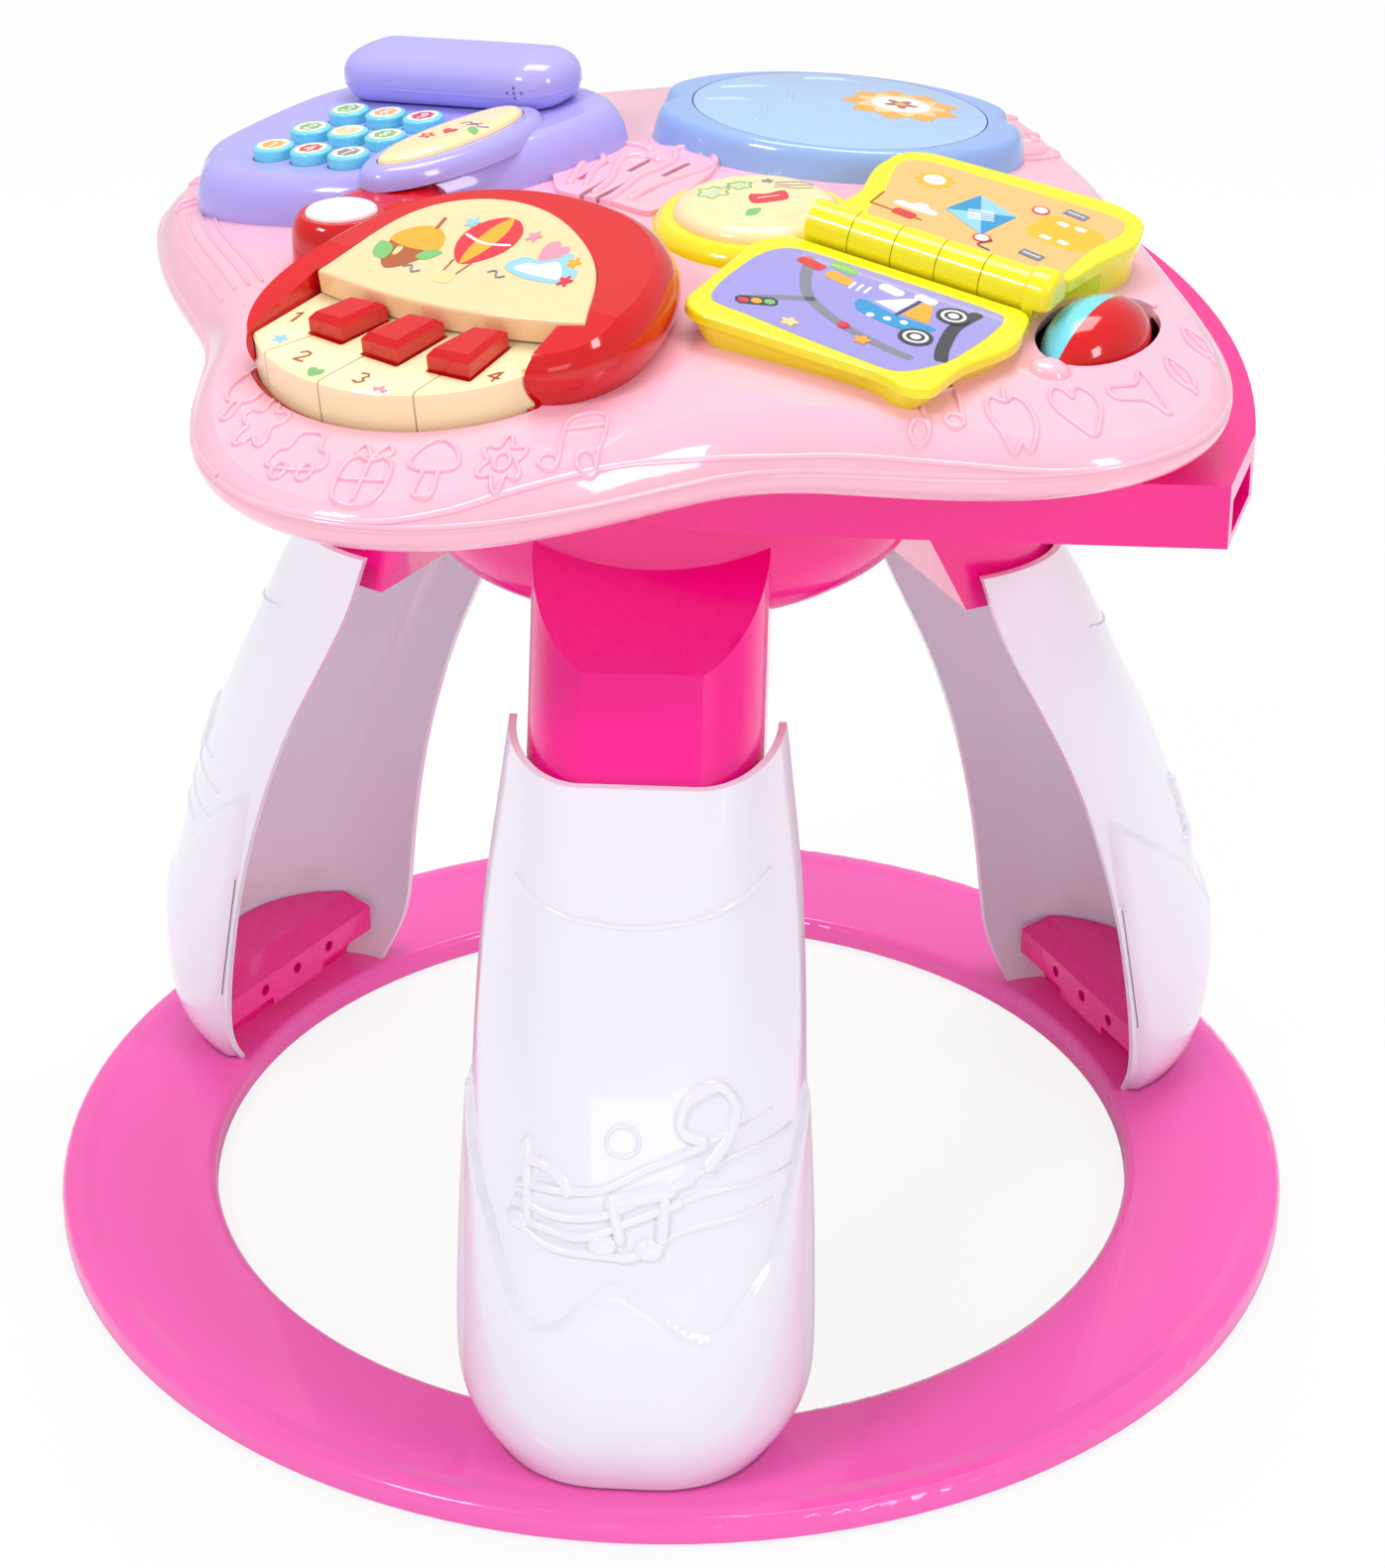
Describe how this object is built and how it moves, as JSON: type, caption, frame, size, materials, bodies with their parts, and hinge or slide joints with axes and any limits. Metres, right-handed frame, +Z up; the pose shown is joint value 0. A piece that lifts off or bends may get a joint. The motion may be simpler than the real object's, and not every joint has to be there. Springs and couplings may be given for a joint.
{
  "type": "baby activity table",
  "caption": "Standing musical activity table with a base ring, splayed legs, a swivel seat arm and a lobed toy tray with drum, telephone, piano and book.",
  "frame": {"origin": "centre of the base ring on the floor", "axes": "+Z up; the front leg stands towards -Y and the other two at 30 and 150 degrees from +X"},
  "size_m": [0.4999, 0.5, 0.4538],
  "materials": {
    "ring_pink": "gloss",
    "magenta": "gloss",
    "white_shell": "gloss",
    "tray_pink": "gloss",
    "violet": "gloss",
    "blue": "gloss",
    "light_blue": "gloss",
    "red": "gloss",
    "cream": "gloss",
    "yellow": "gloss",
    "lens_white": "gloss",
    "dark_plastic": "satin",
    "grey_plastic": "satin",
    "rubber_grey": "matte",
    "steel": "brushed",
    "board_green": "satin",
    "cell_steel": "satin"
  },
  "bodies": {
    "stand": {"base_ring": "ring_pink", "ring_pads": "rubber_grey", "foot_screws": "steel", "leg_front": "white_shell", "leg_right": "white_shell", "leg_left": "white_shell", "leg_screws": "steel", "foot_block_front": "magenta", "foot_block_right": "magenta", "foot_block_left": "magenta", "hub": "magenta", "spindle": "grey_plastic", "spindle_screws": "steel", "tray_top": "tray_pink", "tray_bottom": "tray_pink", "tray_screws": "steel", "battery_door_panel": "tray_pink", "battery_box": "dark_plastic", "door_screw": "steel", "batteries": "cell_steel", "circuit_board": "board_green", "speaker_driver": "dark_plastic", "speaker_stand": "grey_plastic", "drum_base": "blue", "phone_base": "violet", "piano_case": "red", "piano_panel": "cream", "book_base": "yellow", "book_pin": "steel", "roller_axle": "steel", "lamp_housing": "red", "speaker_grille": "tray_pink"},
    "seat_arm": {"arm_lower": "magenta", "arm_cover": "magenta"},
    "handset": {"handset": "violet"},
    "leaf_button": {"leaf_button": "cream"},
    "drum_pad": {"drum_pad": "blue"},
    "book_page": {"book_page": "yellow"},
    "round_button": {"round_button": "cream"},
    "lens_button": {"lens_button": "lens_white"},
    "roller": {"roller_half_blue": "light_blue", "roller_half_red": "red"},
    "power_switch": {"power_switch": "dark_plastic"},
    "phone_key_1": {"phone_key_1": "light_blue"},
    "phone_key_2": {"phone_key_2": "light_blue"},
    "phone_key_3": {"phone_key_3": "light_blue"},
    "phone_key_4": {"phone_key_4": "light_blue"},
    "phone_key_5": {"phone_key_5": "light_blue"},
    "phone_key_6": {"phone_key_6": "light_blue"},
    "phone_key_7": {"phone_key_7": "light_blue"},
    "phone_key_8": {"phone_key_8": "light_blue"},
    "phone_key_9": {"phone_key_9": "light_blue"},
    "white_key_1": {"white_key_1": "cream"},
    "white_key_2": {"white_key_2": "cream"},
    "white_key_3": {"white_key_3": "cream"},
    "white_key_4": {"white_key_4": "cream"},
    "red_key_1": {"red_key_1": "red"},
    "red_key_2": {"red_key_2": "red"},
    "red_key_3": {"red_key_3": "red"}
  },
  "joints": [
    {"name": "seat_arm_swivel", "type": "hinge", "parent": "stand", "child": "seat_arm", "pos_m": [0, 0, 0.35], "axis": [0, 0, 1], "continuous": true},
    {"name": "handset_lift", "type": "slide", "parent": "stand", "child": "handset", "axis": [-0.1085, 0.0627, 0.9921], "range_m": [0, 0.12]},
    {"name": "phone_key_1_press", "type": "slide", "parent": "stand", "child": "phone_key_1", "axis": [0.1085, -0.0627, -0.9921], "range_m": [0, 0.002], "stiffness_N_per_m": 400},
    {"name": "phone_key_2_press", "type": "slide", "parent": "stand", "child": "phone_key_2", "axis": [0.1085, -0.0627, -0.9921], "range_m": [0, 0.002], "stiffness_N_per_m": 400},
    {"name": "phone_key_3_press", "type": "slide", "parent": "stand", "child": "phone_key_3", "axis": [0.1085, -0.0627, -0.9921], "range_m": [0, 0.002], "stiffness_N_per_m": 400},
    {"name": "phone_key_4_press", "type": "slide", "parent": "stand", "child": "phone_key_4", "axis": [0.1085, -0.0627, -0.9921], "range_m": [0, 0.002], "stiffness_N_per_m": 400},
    {"name": "phone_key_5_press", "type": "slide", "parent": "stand", "child": "phone_key_5", "axis": [0.1085, -0.0627, -0.9921], "range_m": [0, 0.002], "stiffness_N_per_m": 400},
    {"name": "phone_key_6_press", "type": "slide", "parent": "stand", "child": "phone_key_6", "axis": [0.1085, -0.0627, -0.9921], "range_m": [0, 0.002], "stiffness_N_per_m": 400},
    {"name": "phone_key_7_press", "type": "slide", "parent": "stand", "child": "phone_key_7", "axis": [0.1085, -0.0627, -0.9921], "range_m": [0, 0.002], "stiffness_N_per_m": 400},
    {"name": "phone_key_8_press", "type": "slide", "parent": "stand", "child": "phone_key_8", "axis": [0.1085, -0.0627, -0.9921], "range_m": [0, 0.002], "stiffness_N_per_m": 400},
    {"name": "phone_key_9_press", "type": "slide", "parent": "stand", "child": "phone_key_9", "axis": [0.1085, -0.0627, -0.9921], "range_m": [0, 0.002], "stiffness_N_per_m": 400},
    {"name": "leaf_button_press", "type": "slide", "parent": "stand", "child": "leaf_button", "axis": [0.1085, -0.0627, -0.9921], "range_m": [0, 0.002], "stiffness_N_per_m": 500},
    {"name": "drum_pad_press", "type": "slide", "parent": "stand", "child": "drum_pad", "axis": [-0.0627, -0.1085, -0.9921], "range_m": [0, 0.0025], "stiffness_N_per_m": 900},
    {"name": "white_key_1_press", "type": "slide", "parent": "stand", "child": "white_key_1", "axis": [0.0627, 0.1085, -0.9921], "range_m": [0, 0.002], "stiffness_N_per_m": 500},
    {"name": "white_key_2_press", "type": "slide", "parent": "stand", "child": "white_key_2", "axis": [0.0627, 0.1085, -0.9921], "range_m": [0, 0.002], "stiffness_N_per_m": 500},
    {"name": "white_key_3_press", "type": "slide", "parent": "stand", "child": "white_key_3", "axis": [0.0627, 0.1085, -0.9921], "range_m": [0, 0.002], "stiffness_N_per_m": 500},
    {"name": "white_key_4_press", "type": "slide", "parent": "stand", "child": "white_key_4", "axis": [0.0627, 0.1085, -0.9921], "range_m": [0, 0.002], "stiffness_N_per_m": 500},
    {"name": "red_key_1_press", "type": "slide", "parent": "stand", "child": "red_key_1", "axis": [0.0627, 0.1085, -0.9921], "range_m": [0, 0.002], "stiffness_N_per_m": 400},
    {"name": "red_key_2_press", "type": "slide", "parent": "stand", "child": "red_key_2", "axis": [0.0627, 0.1085, -0.9921], "range_m": [0, 0.002], "stiffness_N_per_m": 400},
    {"name": "red_key_3_press", "type": "slide", "parent": "stand", "child": "red_key_3", "axis": [0.0627, 0.1085, -0.9921], "range_m": [0, 0.002], "stiffness_N_per_m": 400},
    {"name": "round_button_press", "type": "slide", "parent": "stand", "child": "round_button", "axis": [0, 0, -1], "range_m": [0, 0.0018], "stiffness_N_per_m": 600},
    {"name": "lens_button_press", "type": "slide", "parent": "stand", "child": "lens_button", "axis": [0, 0, -1], "range_m": [0, 0.0015], "stiffness_N_per_m": 400},
    {"name": "book_page_turn", "type": "hinge", "parent": "stand", "child": "book_page", "pos_m": [0.09688, -0.05229, 0.42613], "axis": [0.9103, -0.3948, -0.1245], "range_deg": [0, 178]},
    {"name": "roller_spin", "type": "hinge", "parent": "stand", "child": "roller", "pos_m": [0.1566, -0.06617, 0.40008], "axis": [-0.5, -0.866, 0], "continuous": true},
    {"name": "power_switch_slide", "type": "slide", "parent": "stand", "child": "power_switch", "axis": [1, 0, 0], "range_m": [0, 0.008]}
  ]
}
